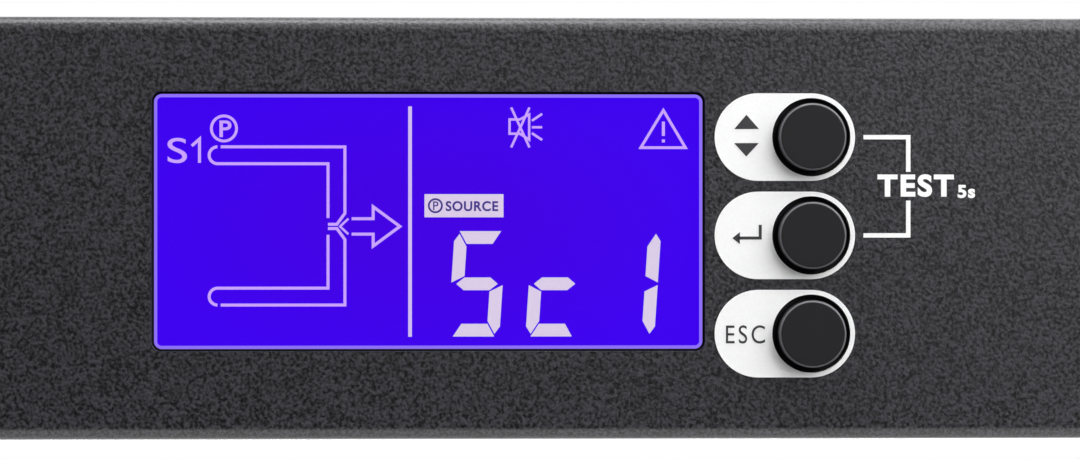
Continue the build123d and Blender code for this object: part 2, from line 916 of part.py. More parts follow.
def service_port():
    """Jack on the power board's tongue that looks through the rear wall."""
    width, depth, height = port_size
    face_y = rear_y + port_proud
    low = power_board_top
    body = block(around(port_centre, width), (face_y - depth, face_y), (low, low + height))
    cavity_z = (low + port_floor, low + port_floor + port_cavity[2])
    body -= block(around(port_centre, port_cavity[0]), (face_y - port_cavity[1], face_y + over), cavity_z)
    return body


def earth_stud():
    """Earth stud with a hexagonal collar outside the rear wall and a shank through it."""
    place = Pos(stud_x, stud_z)
    stud = slab(place * Circle(stud_shank_radius), rear_inside - nut_thick, rear_y)
    stud += slab(place * hexagon(stud_across), rear_y, rear_y + stud_collar)
    return stud + slab(place * Circle(stud_radius), rear_y + stud_collar, rear_y + stud_reach)


def earth_nut():
    """Nut that holds the earth stud from inside."""
    ring = hexagon(nut_across) - Circle(stud_shank_radius)
    return slab(Pos(stud_x, stud_z) * ring, rear_inside - nut_thick, rear_inside)


def case_parts():
    """Sheet-metal pieces of the case."""
    ear = rack_ear()
    return {
        "front_panel": front_panel(),
        "chassis_base": chassis_base(),
        "top_cover": top_cover(),
        "right_rack_ear": ear,
        "left_rack_ear": mirror(ear, about=Plane.YZ),
    }


def front_parts():
    """Display, buttons and the board behind them."""
    parts = {
        "display_window": display_window(),
        "lcd_bezel": lcd_bezel(),
        "lcd_glass": lcd_glass(),
        "lcd_backlight": lcd_backlight(),
        "lcd_segments": lcd_segments(),
        "legend_print": legend_print(),
        "display_board": display_board(),
        "display_supports": display_supports(),
        "buzzer": buzzer(),
        "display_ribbon": display_ribbon(),
    }
    for name, z in button_heights.items():
        parts[f"button_{name}"] = button_cap(z)
        parts[f"stem_{name}"] = key_stem(z)
        parts[f"switch_{name}"] = key_switch(z)
    return parts


def power_parts():
    """Boards, cooler and switching parts inside the case."""
    first = part_row_gap
    second = first + transformer_size[1] + part_row_gap
    parts = {
        "power_board": power_board(),
        "power_supports": power_supports(),
        "heat_sink": heat_sink(),
        "module_clamp": module_clamp(),
        "clamp_screw": clamp_screw(),
        "current_sensor": current_sensor(),
        "terminal_block": terminal_block(),
    }
    for index, source in enumerate("ab"):
        x = board_row(index)
        parts[f"thyristor_{source}"] = thyristor_module(module_centres()[index])
        transformer_y = part_y(first, transformer_size)
        parts[f"transformer_{source}"] = potted_box(x, transformer_y, transformer_size, transformer_edge)
        relay_y = part_y(second, relay_size)
        parts[f"relay_{source}"] = potted_box(x, relay_y, relay_size, relay_edge)
        capacitor_x = board_row(index + 2)
        capacitor_y = part_y(first, capacitor_size)
        parts[f"capacitor_{source}"] = potted_box(capacitor_x, capacitor_y, capacitor_size, capacitor_edge)
    return parts


def rear_parts():
    """Connectors, breakers and other pieces on the rear wall."""
    parts = {
        "inlet_blades": inlet_blades(),
        "heavy_outlet": heavy_outlet(),
        "breaker_nuts": breaker_nuts(),
        "service_port": service_port(),
        "earth_stud": earth_stud(),
        "earth_nut": earth_nut(),
    }
    for index, source in enumerate("ab"):
        parts[f"inlet_{source}"] = power_inlet(inlet_centres()[index])
        parts[f"outlet_strip_{source}"] = outlet_strip(strip_centres()[index])
        parts[f"breaker_{source}"] = breaker(breaker_centres()[index])
        parts[f"reset_button_{source}"] = reset_button(breaker_centres()[index])
    return parts


def main():
    """Writes one file for each piece."""
    os.makedirs("parts", exist_ok=True)
    parts = {**case_parts(), **front_parts(), **power_parts(), **rear_parts()}
    for name, shape in parts.items():
        if isinstance(shape, list):
            shape = Compound(children=[solid for item in shape for solid in item.solids()])
        export_step(shape, f"parts/{name}.step")


main()
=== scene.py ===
"""Rack static transfer switch: coats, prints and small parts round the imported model."""

import json
import math

import bmesh
import bpy
from bpy.props import FloatProperty, FloatVectorProperty, IntProperty, PointerProperty
from mathutils import Matrix, Vector


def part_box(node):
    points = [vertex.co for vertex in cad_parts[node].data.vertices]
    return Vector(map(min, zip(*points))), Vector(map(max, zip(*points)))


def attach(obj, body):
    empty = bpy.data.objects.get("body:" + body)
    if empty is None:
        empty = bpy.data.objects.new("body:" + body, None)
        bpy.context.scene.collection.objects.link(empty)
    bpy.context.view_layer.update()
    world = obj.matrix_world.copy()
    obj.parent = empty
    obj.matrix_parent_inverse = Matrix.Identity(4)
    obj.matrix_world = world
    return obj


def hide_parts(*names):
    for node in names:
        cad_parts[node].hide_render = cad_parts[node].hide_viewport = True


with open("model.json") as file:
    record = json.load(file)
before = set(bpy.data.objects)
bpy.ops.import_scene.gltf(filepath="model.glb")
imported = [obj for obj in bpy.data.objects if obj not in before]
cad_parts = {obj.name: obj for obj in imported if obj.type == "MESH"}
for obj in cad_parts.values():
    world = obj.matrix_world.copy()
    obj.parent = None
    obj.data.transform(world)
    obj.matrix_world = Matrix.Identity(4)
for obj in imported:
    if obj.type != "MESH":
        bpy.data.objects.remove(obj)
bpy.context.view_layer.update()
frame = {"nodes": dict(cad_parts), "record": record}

bl_info = {
    "name": "Rack transfer switch",
    "version": (1, 0, 0),
    "blender": (4, 5, 0),
    "location": "View3D > Sidebar > Transfer switch",
    "description": "Dresses a one-unit rack transfer switch and sets its studio",
    "category": "Object",
}

MM = 0.001
SLOT_OF = {part["node"]: part["material_slot"] for part in frame["record"]["subparts"]}
PANEL_LOW, PANEL_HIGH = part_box("front_panel")
FRONT_Y = PANEL_LOW.y
MIDDLE_Z = (PANEL_LOW.z + PANEL_HIGH.z) / 2
WINDOW_LOW, WINDOW_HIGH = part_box("display_window")
LENS_RIM = 1.8 * MM
WINDOW_LEFT = WINDOW_LOW.x + LENS_RIM
WINDOW_TOP = WINDOW_HIGH.z - LENS_RIM
DIVIDER = 26.35 * MM
PANEL_SHEET = 1.2 * MM
KEYS = ("up_down", "enter", "escape")
RING_SIDES = 48
LENS_CORNER = 0.8 * MM
LENS_GAP = 0.25 * MM
GAP_SHADE_SIDES = 32
CONTACT_PITCH = 1.02 * MM


# ---- Colour, nodes and finishes ----


def tone(code):
    """Linear colour, with alpha, of an sRGB hex value."""
    values = [int(code[i : i + 2], 16) / 255 for i in (1, 3, 5)]
    return tuple(v / 12.92 if v <= 0.04045 else ((v + 0.055) / 1.055) ** 2.4 for v in values) + (1.0,)


def add(tree, kind, inputs=None, **settings):
    """Adds a node with its settings, and sets or links its inputs."""
    made = tree.nodes.new(kind)
    for name, value in settings.items():
        setattr(made, name, value)
    for name, value in (inputs or {}).items():
        if isinstance(value, bpy.types.NodeSocket):
            tree.links.new(value, made.inputs[name])
        else:
            made.inputs[name].default_value = value
    return made


def blank(name):
    """Material with an empty node tree, its output and its object coordinates."""
    material = bpy.data.materials.new(name)
    material.use_nodes = True
    tree = material.node_tree
    tree.nodes.clear()
    output = add(tree, "ShaderNodeOutputMaterial")
    place = add(tree, "ShaderNodeTexCoord").outputs["Object"]
    return material, tree, output, place


def grained(name, dark, light, grain, rough, bump, stretch=(1, 1, 1), span=(0.3, 0.7), **shader):
    """Finish with a grain of the given size in millimetres, between two colours and two roughnesses.

    bump is the depth of the grain in millimetres, and span the part of the noise that the colours take."""
    material, tree, output, place = blank(name)
    scaled = add(tree, "ShaderNodeMapping", {"Vector": place, "Scale": stretch})
    noise = add(
        tree,
        "ShaderNodeTexNoise",
        {"Vector": scaled.outputs[0], "Scale": 1 / (grain * MM), "Detail": 3.0, "Roughness": 0.6},
    )
    ramp = add(tree, "ShaderNodeValToRGB", {"Fac": noise.outputs["Fac"]})
    ramp.color_ramp.elements[0].position = span[0]
    ramp.color_ramp.elements[0].color = tone(dark)
    ramp.color_ramp.elements[1].position = span[1]
    ramp.color_ramp.elements[1].color = tone(light)
    spread = add(
        tree,
        "ShaderNodeMapRange",
        {"Value": noise.outputs["Fac"], "To Min": rough[0], "To Max": rough[1]},
    )
    relief = add(
        tree,
        "ShaderNodeBump",
        {"Height": noise.outputs["Fac"], "Distance": bump * MM, "Strength": 1.0},
    )
    inputs = {
        "Base Color": ramp.outputs["Color"],
        "Roughness": spread.outputs["Result"],
        "Normal": relief.outputs["Normal"],
    }
    for key, value in shader.items():
        inputs[key.replace("_", " ")] = value
    surface = add(tree, "ShaderNodeBsdfPrincipled", inputs)
    tree.links.new(surface.outputs[0], output.inputs["Surface"])
    return material


def powder_coat(name, rough):
    """Textured powder coat in the tones and grain of the settings: the dark tone lies in the pebbles'
    hollows as painted shade, and the light tone on their tips as painted glints.
    """
    coat = bpy.context.scene.switch_coat
    return grained(name, coat.dark, coat.light, coat.grain / MM, rough, coat.relief / MM, span=(0.38, 0.62))


def broken_edge(tree):
    """1 on the bevel that runs round a front face, 0 elsewhere."""
    normal = add(tree, "ShaderNodeNewGeometry").outputs["Normal"]
    facing = add(tree, "ShaderNodeSeparateXYZ", {"Vector": normal}).outputs["Y"]
    return add(tree, "ShaderNodeMath", {0: facing, 1: -0.7, 2: 0.22}, operation="COMPARE").outputs[0]


def acrylic_window():
    """Acrylic with a matt film: nothing but a trace of gloss, and a bevel that glows with the backlight."""
    material, tree, output, _ = blank("Film-faced acrylic with glowing bevel")
    bevel = broken_edge(tree)
    cover = add(tree, "ShaderNodeMapRange", {"Value": bevel, "To Min": 0.02, "To Max": 1.0})
    surface = add(
        tree,
        "ShaderNodeBsdfPrincipled",
        {
            "Base Color": tone("#2A1660"),
            "Roughness": 0.3,
            "IOR": 1.49,
            "Alpha": cover.outputs["Result"],
            "Emission Color": tone("#8C70F2"),
            "Emission Strength": bevel,
        },
    )
    tree.links.new(surface.outputs[0], output.inputs["Surface"])
    return material


def key_plastic():
    """Black ABS from a finely spark-eroded mould: satin, with a smoother line round the cap whose paler
    grey colour is a painted highlight of the rim.
    """
    material, tree, output, place = blank("Satin black key plastic")
    bevel = broken_edge(tree)
    noise = add(tree, "ShaderNodeTexNoise", {"Vector": place, "Scale": 1 / (0.15 * MM), "Detail": 2.0})
    relief = add(tree, "ShaderNodeBump", {"Height": noise.outputs["Fac"], "Distance": 0.006 * MM})
    # Painted highlight: the bevel round the cap is coloured paler grey to stand in for the light on its
    # rim; only its lower roughness is the real polish.
    shade = add(tree, "ShaderNodeValToRGB", {"Fac": bevel})
    shade.color_ramp.elements[0].color = tone("#141316")
    shade.color_ramp.elements[1].color = tone("#6A696D")
    rough = add(tree, "ShaderNodeMapRange", {"Value": bevel, "To Min": 0.55, "To Max": 0.3})
    surface = add(
        tree,
        "ShaderNodeBsdfPrincipled",
        {
            "Base Color": shade.outputs["Color"],
            "Roughness": rough.outputs["Result"],
            "Specular IOR Level": 0.3,
            "Normal": relief.outputs["Normal"],
        },
    )
    tree.links.new(surface.outputs[0], output.inputs["Surface"])
    return material


def lit_display():
    """Negative display glass over a blue light guide: even deep blue, a little lighter at its edges."""
    material, tree, output, place = blank("Backlit display glass")
    centre = (WINDOW_LOW + WINDOW_HIGH) / 2
    half = (WINDOW_HIGH - WINDOW_LOW) / 2
    fitted = add(
        tree,
        "ShaderNodeMapping",
        {
            "Vector": place,
            "Location": [-c / h for c, h in zip(centre, half)],
            "Scale": [1 / h for h in half],
        },
    )
    flat = add(tree, "ShaderNodeVectorMath", {0: fitted.outputs[0], 1: (1, 0, 1)}, operation="MULTIPLY")
    reach = add(tree, "ShaderNodeVectorMath", {0: flat.outputs[0]}, operation="LENGTH")
    ramp = add(tree, "ShaderNodeValToRGB", {"Fac": reach.outputs["Value"]})
    ramp.color_ramp.elements[0].position = 0.3
    ramp.color_ramp.elements[0].color = tone("#4301E6")
    ramp.color_ramp.elements[1].color = tone("#3F02F2")
    surface = add(
        tree,
        "ShaderNodeBsdfPrincipled",
        {
            "Base Color": tone("#08001C"),
            "Roughness": 0.4,
            "Specular IOR Level": 0.02,
            "Emission Color": ramp.outputs["Color"],
            "Emission Strength": 1.0,
        },
    )
    tree.links.new(surface.outputs[0], output.inputs["Surface"])
    return material


def lit_marks(name, thin, full):
    """Clear parts of the display: thin lines left of the divider are bluer than full bars right of it."""
    material, tree, output, place = blank(name)
    noise = add(tree, "ShaderNodeTexNoise", {"Vector": place, "Scale": 1 / (0.6 * MM), "Detail": 2.0})
    level = add(
        tree, "ShaderNodeMapRange", {"Value": noise.outputs["Fac"], "To Min": 0.96, "To Max": 1.04}
    )
    across = add(tree, "ShaderNodeSeparateXYZ", {"Vector": place}).outputs["X"]
    divider = WINDOW_LEFT + DIVIDER
    side = add(
        tree,
        "ShaderNodeMapRange",
        {"Value": across, "From Min": divider - 1 * MM, "From Max": divider + 1 * MM},
    )
    ramp = add(tree, "ShaderNodeValToRGB", {"Fac": side.outputs["Result"]})
    ramp.color_ramp.elements[0].color = tone(thin)
    ramp.color_ramp.elements[1].color = tone(full)
    surface = add(
        tree,
        "ShaderNodeBsdfPrincipled",
        {
            "Base Color": tone("#1A1430"),
            "Roughness": 0.3,
            "Emission Color": ramp.outputs["Color"],
            "Emission Strength": level.outputs["Result"],
        },
    )
    tree.links.new(surface.outputs[0], output.inputs["Surface"])
    return material


def green_board():
    """Glass-epoxy board under green solder mask, with darker runs where there is no copper."""
    material, tree, output, place = blank("Green solder mask")
    tracks = add(
        tree,
        "ShaderNodeTexBrick",
        {
            "Vector": place,
            "Scale": 1 / (12 * MM),
            "Mortar Size": 0.05,
            "Color1": tone("#0E4A26"),
            "Color2": tone("#125C30"),
            "Mortar": tone("#0A3319"),
        },
    )
    noise = add(tree, "ShaderNodeTexNoise", {"Vector": place, "Scale": 1 / (0.5 * MM)})
    relief = add(tree, "ShaderNodeBump", {"Height": noise.outputs["Fac"], "Distance": 0.02 * MM})
    surface = add(
        tree,
        "ShaderNodeBsdfPrincipled",
        {"Base Color": tracks.outputs["Color"], "Roughness": 0.3, "Normal": relief.outputs["Normal"]},
    )
    tree.links.new(surface.outputs[0], output.inputs["Surface"])
    return material


def flat_cable():
    """Flat cable: grey insulated cores side by side, each with its own round sheen."""
    material, tree, output, place = blank("Flat cable insulation")
    cores = add(
        tree,
        "ShaderNodeTexWave",
        {"Vector": place, "Scale": 1 / (1.27 * MM) / 20, "Distortion": 0.0},
        bands_direction="X",
    )
    relief = add(tree, "ShaderNodeBump", {"Height": cores.outputs["Fac"], "Distance": 0.2 * MM})
    surface = add(
        tree,
        "ShaderNodeBsdfPrincipled",
        {"Base Color": tone("#85888E"), "Roughness": 0.4, "Normal": relief.outputs["Normal"]},
    )
    tree.links.new(surface.outputs[0], output.inputs["Surface"])
    return material


# Each finish is made once, the first time a piece asks for it.
MAKERS = {
    # Textured polyester powder on sheet steel: dark, dry and finely pebbled, with a soft sheen on bends.
    "powder_coat": lambda: powder_coat("Textured powder coat", (0.32, 0.42)),
    # The same coat on the wide flat of the lid, where the pebbles hide the gloss from a low look.
    "lid_coat": lambda: powder_coat("Textured powder coat, dry", (0.68, 0.78)),
    # Zinc plating: bright grey with faint clouds.
    "galvanised": lambda: grained(
        "Bright zinc plating", "#A9ACB0", "#C9CCCF", 1.5, (0.22, 0.38), 0.01, Metallic=1.0
    ),
    # Extruded aluminium: drawn lines along the profile.
    "cooler": lambda: grained(
        "Mill-finish aluminium",
        "#B9BBBE",
        "#D2D4D6",
        0.5,
        (0.25, 0.45),
        0.02,
        stretch=(1, 0.03, 1),
        Metallic=1.0,
    ),
    "clear_window": acrylic_window,
    "lcd_lit": lit_display,
    "lcd_marks": lambda: lit_marks("Clear display segments", "#CDA4FF", "#DDCEE8"),
    # Light guide: milky acrylic that carries the lamp's blue.
    "backlight": lambda: grained(
        "Milky light guide", "#3A1FD0", "#4A30E0", 1.0, (0.2, 0.3), 0.01, IOR=1.49
    ),
    # Two-part screen ink: flat opaque white with a slightly dry surface.
    "white_print": lambda: grained(
        "White screen ink", "#FAFAFA", "#FFFFFF", 0.3, (0.5, 0.65), 0.004
    ),
    "black_key": key_plastic,
    # Connector bodies: glass-filled polyamide, nearly black, with a slight moulded haze.
    "black_socket": lambda: grained(
        "Black moulded polyamide", "#17181A", "#202123", 0.35, (0.3, 0.46), 0.012
    ),
    "grey_plastic": flat_cable,
    # Nylon board posts: waxy off-white.
    "natural_plastic": lambda: grained(
        "Natural nylon", "#D8D5CB", "#E6E3DA", 0.8, (0.35, 0.5), 0.01, Subsurface_Weight=0.1
    ),
    # Glossy moulded cases of the parts on the power board.
    "relay_case": lambda: grained("Blue relay case", "#17407F", "#1C4A90", 0.5, (0.2, 0.32), 0.008),
    "capacitor_case": lambda: grained(
        "Yellow film capacitor case", "#C9A227", "#D8B238", 0.5, (0.25, 0.36), 0.008
    ),
    "terminal_green": lambda: grained(
        "Green moulded terminal", "#1C7A3E", "#228A48", 0.5, (0.35, 0.48), 0.01
    ),
    "board": green_board,
    # Nickel over brass: warm grey metal with fine wiping marks.
    "contact": lambda: grained(
        "Nickel-plated brass",
        "#B5A988",
        "#CDC2A4",
        0.6,
        (0.2, 0.34),
        0.006,
        stretch=(1, 0.2, 1),
        Metallic=1.0,
    ),
    # Urea breaker buttons: glossy, slightly warm white.
    "reset_white": lambda: grained("White moulded button", "#E4E4E0", "#EEEEEA", 0.4, (0.25, 0.36), 0.005),
    # Legend ink on the white fields: dark grey and flat.
    "dark_ink": lambda: grained("Dark grey legend ink", "#2E2D31", "#38373B", 0.3, (0.5, 0.6), 0.003),
    # Unlit letters on the lit plate: the display's own deep blue.
    "blue_ink": lambda: lit_marks("Unlit display letters", "#3A2A80", "#3A2A80"),
    # Symbols drawn with thin lines: the blue round them takes some of their white.
    "thin_marks": lambda: lit_marks("Clear display lines", "#CDA4FF", "#CDA4FF"),
    # Black ring in the gap round the window: painted shade, near-black and dull, standing in for the shade
    # in the gap.
    "gap_shade": lambda: grained(
        "Black painted gap shade", "#08080A", "#0E0E10", 0.4, (0.6, 0.8), 0.01, Specular_IOR_Level=0.2
    ),
    # Thin gold on the sprung wires of the service port: bright and smooth.
    "gold": lambda: grained(
        "Gold-plated contact", "#D8A93C", "#E8C05C", 0.5, (0.15, 0.25), 0.004, Metallic=1.0
    ),
}
made_finishes = {}


def finish(name):
    """The finish of that name."""
    if name not in made_finishes:
        made_finishes[name] = MAKERS[name]()
    return made_finishes[name]


# ---- Pieces ----


def piece(name, mesh, slot, finish_name=None, body="case", stands_for=()):
    """Object of a finished mesh that rides on a body."""
    mesh.materials.clear()
    mesh.materials.append(finish(finish_name or slot))
    made = bpy.data.objects.new(name, mesh)
    bpy.context.scene.collection.objects.link(made)
    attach(made, body)
    if stands_for:
        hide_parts(*stands_for)
    return made


def plain(holder):
    """Plain mesh of an object as its modifiers or text leave it; the object goes."""
    bpy.context.scene.collection.objects.link(holder)
    bpy.context.view_layer.update()
    ready = holder.evaluated_get(bpy.context.evaluated_depsgraph_get())
    mesh = bpy.data.meshes.new_from_object(ready)
    bpy.data.objects.remove(holder)
    return mesh


def smooth(shape, angle=35):
    """Smooth faces, with hard edges where they turn by more than the angle."""
    for face in shape.faces:
        face.smooth = True
    for edge in shape.edges:
        edge.smooth = edge.is_manifold and edge.calc_face_angle(0) < math.radians(angle)


def edged(node, width, body="case", segments=2, only=None):
    """Copy of a solid with its hard edges broken, which stands for that solid."""
    shape = bmesh.new()
    shape.from_mesh(frame["nodes"][node].data)
    bmesh.ops.remove_doubles(shape, verts=shape.verts, dist=0.0005 * MM)
    bmesh.ops.dissolve_limit(
        shape, angle_limit=math.radians(0.5), verts=shape.verts, edges=shape.edges
    )
    hard = [e for e in shape.edges if e.is_manifold and e.calc_face_angle(0) > math.radians(32)]
    if only:
        hard = [e for e in hard if all(only(v.co) for v in e.verts)]
    bmesh.ops.bevel(
        shape,
        geom=hard,
        offset=width * MM,
        segments=segments,
        profile=0.5,
        affect="EDGES",
        clamp_overlap=True,
    )
    smooth(shape)
    mesh = bpy.data.meshes.new(f"{node}_edged")
    shape.to_mesh(mesh)
    shape.free()
    # Large faces keep their own normal, so that they are shaded flat right up to a bend.
    holder = bpy.data.objects.new(mesh.name, mesh)
    holder.modifiers.new("Even", "WEIGHTED_NORMAL").keep_sharp = True
    return piece(f"{node}_edged", plain(holder), SLOT_OF[node], body=body, stands_for=(node,))


def on_panel(x, z):
    """Point on the panel, from millimetres right of the middle and above the underside."""
    return Vector((x * MM, z * MM))


def on_window(x, y):
    """Point on the display, from millimetres right and down from the window's corner."""
    return Vector((WINDOW_LEFT + x * MM, WINDOW_TOP - y * MM))


class Marks:
    """Thin flat marks in front of a surface, gathered into one mesh."""

    def __init__(self, surface_y, thick):
        self.shape = bmesh.new()
        self.near = surface_y - thick
        self.far = surface_y

    def corner(self, point, y):
        return self.shape.verts.new((point.x, y, point.y))

    def area(self, points):
        """Filled outline."""
        front = [self.corner(p, self.near) for p in points]
        back = [self.corner(p, self.far) for p in points]
        self.shape.faces.new(front)
        self.shape.faces.new(back[::-1])
        for i in range(len(points)):
            j = (i + 1) % len(points)
            self.shape.faces.new((front[i], back[i], back[j], front[j]))

    def stroke(self, points, width, closed=False):
        """Line of even width, mitred at its corners."""
        count = len(points)
        rows = []
        for i, here in enumerate(points):
            before = points[i - 1] if closed or i else None
            after = points[(i + 1) % count] if closed or i < count - 1 else None
            runs = [(b - a).normalized() for a, b in ((before, here), (here, after)) if a and b]
            sides = [Vector((-run.y, run.x)) for run in runs]
            mitre = sum(sides, Vector((0, 0))).normalized()
            reach = mitre * (width / 2 / max(mitre.dot(sides[0]), 0.35))
            edges = (here + reach, here - reach)
            rows.append([self.corner(p, y) for p in edges for y in (self.near, self.far)])
        for i in range(count if closed else count - 1):
            a, b = rows[i], rows[(i + 1) % count]
            for j, k in ((0, 2), (3, 1), (2, 3), (1, 0)):
                self.shape.faces.new((a[j], a[k], b[k], b[j]))
        if not closed:
            for row in (rows[0], rows[-1]):
                self.shape.faces.new((row[0], row[1], row[3], row[2]))

    def ring(self, centre, radius, width):
        """Circle of even line width."""
        turns = [2 * math.pi * i / RING_SIDES for i in range(RING_SIDES)]
        circle = [centre + Vector((math.cos(t), math.sin(t))) * radius for t in turns]
        self.stroke(circle, width, closed=True)

    def words(self, text, low, high, heavy=0.0, apart=1.0):
        """Letters that fill the box between two corners."""
        curve = bpy.data.curves.new(text, "FONT")
        curve.body = text
        curve.space_character = apart
        curve.offset = heavy
        curve.extrude = 0.5
        mesh = plain(bpy.data.objects.new(text, curve))
        xs = [v.co.x for v in mesh.vertices]
        ys = [v.co.y for v in mesh.vertices]
        for v in mesh.vertices:
            across = (v.co.x - min(xs)) / (max(xs) - min(xs))
            up = (v.co.y - min(ys)) / (max(ys) - min(ys))
            y = self.near if v.co.z > 0 else self.far
            v.co = (low.x + across * (high.x - low.x), y, low.y + up * (high.y - low.y))
        self.shape.from_mesh(mesh)
        bpy.data.meshes.remove(mesh)

    def finished(self, name, slot, finish_name=None):
        """The marks as one piece."""
        bmesh.ops.remove_doubles(self.shape, verts=self.shape.verts, dist=0.0005 * MM)
        bmesh.ops.recalc_face_normals(self.shape, faces=self.shape.faces)
        mesh = bpy.data.meshes.new(name)
        self.shape.to_mesh(mesh)
        self.shape.free()
        return piece(name, mesh, slot, finish_name)


def grown(tree, points, turns, inputs, name, slot):
    """Piece that a node tree grows from points, made a plain mesh."""
    seed = bpy.data.meshes.new(name)
    seed.from_pydata(points, [], [])
    turn = seed.attributes.new("turn", "FLOAT_VECTOR", "POINT")
    for i, value in enumerate(turns):
        turn.data[i].vector = value
    holder = bpy.data.objects.new(name + "_seed", seed)
    modifier = holder.modifiers.new("Grow", "NODES")
    modifier.node_group = tree
    inputs["Finish"] = finish(slot)
    for item in tree.interface.items_tree:
        if item.in_out == "INPUT" and item.name in inputs:
            modifier[item.identifier] = inputs[item.name]
    mesh = plain(holder)
    if not mesh.polygons:
        raise RuntimeError(f"{name} grew no faces")
    return piece(name, mesh, slot)


def new_tree(name, sizes):
    """Node tree with named sizes, a finish, and its two ends."""
    tree = bpy.data.node_groups.new(name, "GeometryNodeTree")
    tree.interface.new_socket("Points", in_out="INPUT", socket_type="NodeSocketGeometry")
    for label, default in sizes.items():
        kind = "NodeSocketInt" if isinstance(default, int) else "NodeSocketFloat"
        socket = tree.interface.new_socket(label, in_out="INPUT", socket_type=kind)
        socket.default_value = default
    tree.interface.new_socket("Finish", in_out="INPUT", socket_type="NodeSocketMaterial")
    tree.interface.new_socket("Mesh", in_out="OUTPUT", socket_type="NodeSocketGeometry")
    return tree, add(tree, "NodeGroupInput").outputs


def close_tree(tree, start, one):
    """Puts one copy of a shape on each point and gives the result its finish."""
    turn = add(tree, "GeometryNodeInputNamedAttribute", {"Name": "turn"}, data_type="FLOAT_VECTOR")
    many = add(
        tree,
        "GeometryNodeInstanceOnPoints",
        {"Points": start["Points"], "Instance": one, "Rotation": turn.outputs["Attribute"]},
    )
    real = add(tree, "GeometryNodeRealizeInstances", {"Geometry": many.outputs[0]})
    coated = add(
        tree, "GeometryNodeSetMaterial", {"Geometry": real.outputs[0], "Material": start["Finish"]}
    )
    add(tree, "NodeGroupOutput", {"Mesh": coated.outputs[0]})
    return tree


def screw_tree():
    """Pan head with a cross recess, standing on its point along +Z."""
    tree, start = new_tree(
        "Cross-recessed screws",
        {
            "Head radius": 3.4 * MM,
            "Head height": 2.0 * MM,
            "Recess width": 0.8 * MM,
            "Recess depth": 1.0 * MM,
        },
    )
    top = add(tree, "ShaderNodeMath", {0: start["Head radius"], 1: 0.72}, operation="MULTIPLY")
    head = add(
        tree,
        "GeometryNodeMeshCone",
        {
            "Vertices": 28,
            "Radius Top": top.outputs[0],
            "Radius Bottom": start["Head radius"],
            "Depth": start["Head height"],
        },
    )
    deep = add(tree, "ShaderNodeMath", {0: start["Recess depth"], 1: 2.0}, operation="MULTIPLY")
    lift = add(tree, "ShaderNodeCombineXYZ", {"Z": start["Head height"]})
    bars = []
    for long_axis, short_axis in (("X", "Y"), ("Y", "X")):
        size = add(
            tree,
            "ShaderNodeCombineXYZ",
            {long_axis: start["Head radius"], short_axis: start["Recess width"], "Z": deep.outputs[0]},
        )
        bar = add(tree, "GeometryNodeMeshCube", {"Size": size.outputs[0]})
        placed = add(
            tree, "GeometryNodeTransform", {"Geometry": bar.outputs[0], "Translation": lift.outputs[0]}
        )
        bars.append(placed.outputs[0])
    recess = add(tree, "GeometryNodeMeshBoolean", operation="UNION", solver="EXACT")
    cut = add(
        tree,
        "GeometryNodeMeshBoolean",
        {"Mesh 1": head.outputs["Mesh"]},
        operation="DIFFERENCE",
        solver="EXACT",
    )
    for bar in bars:
        tree.links.new(bar, recess.inputs["Mesh 2"])
    tree.links.new(recess.outputs[0], cut.inputs["Mesh 2"])
    return close_tree(tree, start, cut.outputs[0])


def thread_tree():
    """Ridge of a screw thread that climbs along +Z from its point."""
    tree, start = new_tree(
        "Screw thread", {"Radius": 2.45 * MM, "Pitch": 0.8 * MM, "Length": 9.0 * MM, "Ridge": 0.28 * MM}
    )
    turns = add(tree, "ShaderNodeMath", {0: start["Length"], 1: start["Pitch"]}, operation="DIVIDE")
    spiral = add(
        tree,
        "GeometryNodeCurveSpiral",
        {
            "Resolution": 28,
            "Rotations": turns.outputs[0],
            "Start Radius": start["Radius"],
            "End Radius": start["Radius"],
            "Height": start["Length"],
        },
    )
    profile = add(tree, "GeometryNodeCurvePrimitiveCircle", {"Resolution": 4, "Radius": start["Ridge"]})
    ridge = add(
        tree,
        "GeometryNodeCurveToMesh",
        {"Curve": spiral.outputs[0], "Profile Curve": profile.outputs[0], "Fill Caps": True},
    )
    return close_tree(tree, start, ridge.outputs[0])


def contact_tree():
    """Row of fine sprung wires, each a straight bar that leans back along +Z."""
    tree, start = new_tree(
        "Row of contacts", {"Count": 8, "Pitch": CONTACT_PITCH, "Thickness": 0.4 * MM, "Length": 7.0 * MM}
    )
    size = add(
        tree,
        "ShaderNodeCombineXYZ",
        {"X": start["Thickness"], "Y": start["Thickness"], "Z": start["Length"]},
    )
    wire = add(tree, "GeometryNodeMeshCube", {"Size": size.outputs[0]})
    leaning = add(
        tree, "GeometryNodeTransform", {"Geometry": wire.outputs[0], "Rotation": (0.35, 0.0, 0.0)}
    )
    step = add(tree, "ShaderNodeCombineXYZ", {"X": start["Pitch"]})
    line = add(tree, "GeometryNodeMeshLine", {"Count": start["Count"], "Offset": step.outputs[0]})
    row = add(
        tree, "GeometryNodeInstanceOnPoints", {"Points": line.outputs[0], "Instance": leaning.outputs[0]}
    )
    return close_tree(tree, start, row.outputs[0])


# ---- Sizes and colours that a user may change ----


